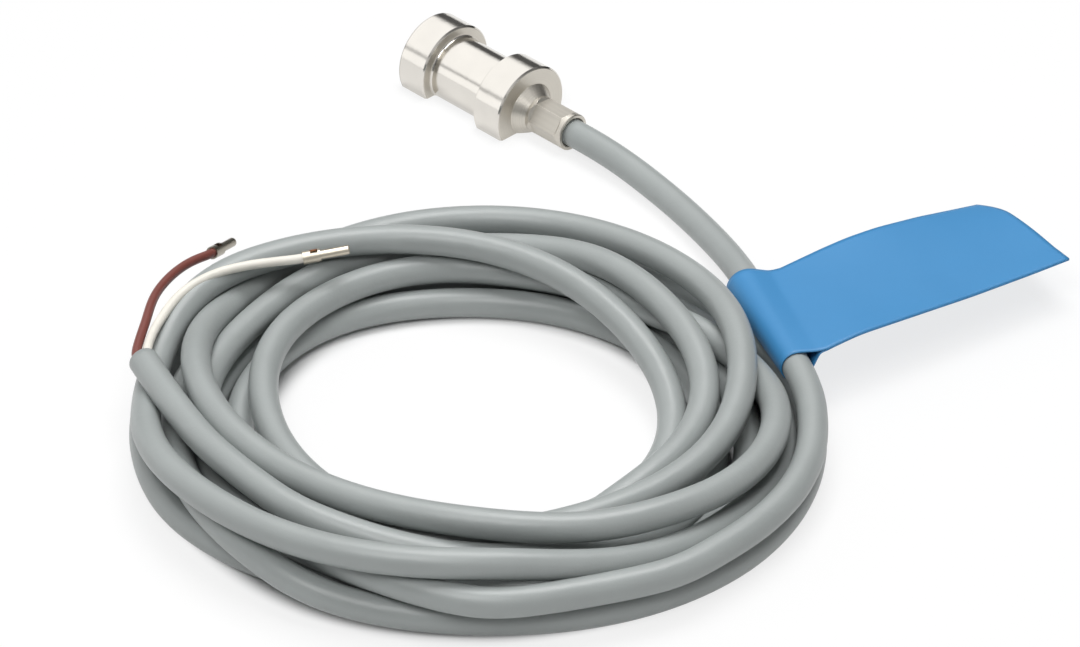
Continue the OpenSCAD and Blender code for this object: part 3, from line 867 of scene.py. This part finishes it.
class SENSOR_OT_stage(bpy.types.Operator):
    """Makes the pale floor, the soft lamps, the world and the camera"""

    bl_idname = "sensor.stage"
    bl_label = "Set the stage"

    def execute(self, context):
        s = context.scene.sensor_stage
        scene = context.scene
        scene.view_settings.view_transform = "Standard"
        corners = [(x * FLOOR_REACH, y * FLOOR_REACH, 0) for x, y in ((-1, -1), (1, -1), (1, 1), (-1, 1))]
        floor = mesh_piece("floor", corners, [(0, 1, 2, 3)], smooth=False)
        dress(floor, floor_finish(tuple(s.floor_colour)))
        scene.world = studio_world()
        for name, place, size, power in LAMPS:
            light = bpy.data.lights.new(name, "AREA")
            light.shape = "SQUARE"
            light.size = size
            light.energy = power
            self.point(name, light, place)
        lens = bpy.data.cameras.new("camera")
        lens.lens = s.lens
        lens.sensor_width = CAMERA_SENSOR
        level = math.cos(s.elevation)
        back = np.array([math.sin(s.azimuth) * level, -math.cos(s.azimuth) * level, math.sin(s.elevation)])
        scene.camera = self.point("camera", lens, LOOK_AT + s.distance * back)
        return {"FINISHED"}

    def point(self, name, data, where):
        """A lamp or camera at a place, with its axis on the place to look at and its top up."""
        thing = bpy.data.objects.new(name, data)
        bpy.context.scene.collection.objects.link(thing)
        x, y, z = np.array(where) - LOOK_AT
        thing.location = where
        thing.rotation_euler = (math.atan2(math.hypot(x, y), z), 0.0, math.atan2(x, -y))
        return thing


# Panel and registration

class SENSOR_PT_panel(bpy.types.Panel):
    """Lists the steps that make the sensor's looks"""

    bl_idname = "SENSOR_PT_panel"
    bl_label = "Sensor"
    bl_space_type = "VIEW_3D"
    bl_region_type = "UI"
    bl_category = "Sensor"

    def draw(self, context):
        scene = context.scene
        for group, operators in (
            (scene.sensor_label, (SENSOR_OT_label,)),
            (scene.sensor_cable, (SENSOR_OT_cable, SENSOR_OT_wires)),
            (scene.sensor_head, (SENSOR_OT_finishes,)),
            (scene.sensor_stage, (SENSOR_OT_stage,)),
        ):
            box = self.layout.box()
            for key in group.__annotations__:
                box.prop(group, key)
            for operator in operators:
                box.operator(operator.bl_idname)


GROUPS = {
    "sensor_cable": CableSettings,
    "sensor_head": HeadSettings,
    "sensor_label": LabelSettings,
    "sensor_stage": StageSettings,
}
CLASSES = (
    *GROUPS.values(),
    SENSOR_OT_label, SENSOR_OT_cable, SENSOR_OT_wires, SENSOR_OT_finishes, SENSOR_OT_stage, SENSOR_PT_panel,
)


def register():
    """Adds the classes, and the groups of settings to the scene."""
    for cls in CLASSES:
        bpy.utils.register_class(cls)
    for name, group in GROUPS.items():
        setattr(bpy.types.Scene, name, bpy.props.PointerProperty(type=group))


def unregister():
    """Takes away what register added."""
    for name in GROUPS:
        delattr(bpy.types.Scene, name)
    for cls in reversed(CLASSES):
        bpy.utils.unregister_class(cls)


def main():
    """Makes everything in its order."""
    register()
    bpy.ops.sensor.label()
    bpy.ops.sensor.cable()
    bpy.ops.sensor.wires()
    bpy.ops.sensor.finishes()
    bpy.ops.sensor.stage()


if __name__ == "__main__":
    main()
